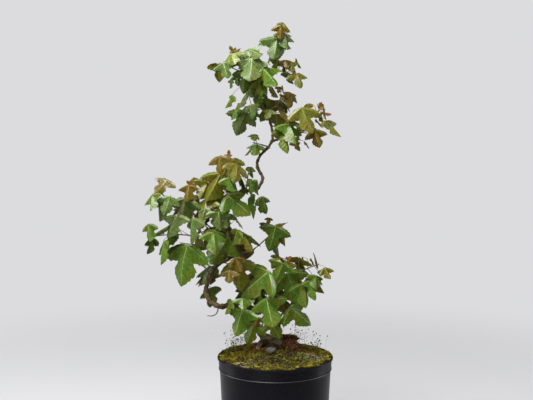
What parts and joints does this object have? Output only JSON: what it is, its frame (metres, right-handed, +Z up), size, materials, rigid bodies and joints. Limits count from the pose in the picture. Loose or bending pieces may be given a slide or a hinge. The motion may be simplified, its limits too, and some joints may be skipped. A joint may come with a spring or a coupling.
{
  "type": "potted trident maple",
  "caption": "Young trident maple with a winding trunk and three-lobed leaves, in a round black nursery pot with mossy soil.",
  "frame": {"origin": "middle of the pot's flat underside, on the surface that it stands on", "axes": "+Z up along the tree, -Y the front that the picture shows, +X to the right seen from the front"},
  "size_m": [0.2563, 0.15, 0.5602],
  "materials": {
    "bark_mound": "matte",
    "bark": "matte",
    "dead_wood": "matte",
    "foliage": "satin",
    "young_bark": "satin",
    "moss_cover": "matte",
    "pot_plastic": "satin",
    "potting_soil": "matte",
    "grey_stone": "matte"
  },
  "bodies": {
    "root": {"bark_mound": "bark_mound", "bough_left": "bark", "bough_middle_right": "bark", "bough_right": "bark", "bough_right_low": "bark", "bough_upper_right": "bark", "dead_twig": "dead_wood", "foliage_basal": "foliage", "foliage_behind_bend": "foliage", "foliage_bend_leaves": "foliage", "foliage_centre_back": "foliage", "foliage_centre_left": "foliage", "foliage_knot_hanging": "foliage", "foliage_left_back": "foliage", "foliage_left_far_high": "foliage", "foliage_left_far_low": "foliage", "foliage_left_high": "foliage", "foliage_left_large": "foliage", "foliage_left_low": "foliage", "foliage_left_near": "foliage", "foliage_low_back": "foliage", "foliage_low_left": "foliage", "foliage_middle": "foliage", "foliage_middle_back": "foliage", "foliage_middle_high": "foliage", "foliage_middle_low": "foliage", "foliage_middle_right": "foliage", "foliage_middle_right_tip": "foliage", "foliage_right_back": "foliage", "foliage_right_far": "foliage", "foliage_right_front": "foliage", "foliage_right_high": "foliage", "foliage_right_inner": "foliage", "foliage_right_low": "foliage", "foliage_right_low_front": "foliage", "foliage_right_low_tip": "foliage", "foliage_right_near": "foliage", "foliage_right_tip": "foliage", "foliage_right_under": "foliage", "foliage_shoulder": "foliage", "foliage_shoulder_back": "foliage", "foliage_shoulder_front": "foliage", "foliage_shoulder_right": "foliage", "foliage_top": "foliage", "foliage_upper_back": "foliage", "foliage_upper_centre": "foliage", "foliage_upper_front": "foliage", "foliage_upper_left_far": "foliage", "foliage_upper_left_high": "foliage", "foliage_upper_left_low": "foliage", "foliage_upper_right": "foliage", "leader": "young_bark", "moss": "moss_cover", "pot": "pot_plastic", "soil": "potting_soil", "stone": "grey_stone", "trunk_foot": "bark", "trunk_lower": "bark", "trunk_upper": "bark"}
  },
  "joints": []
}
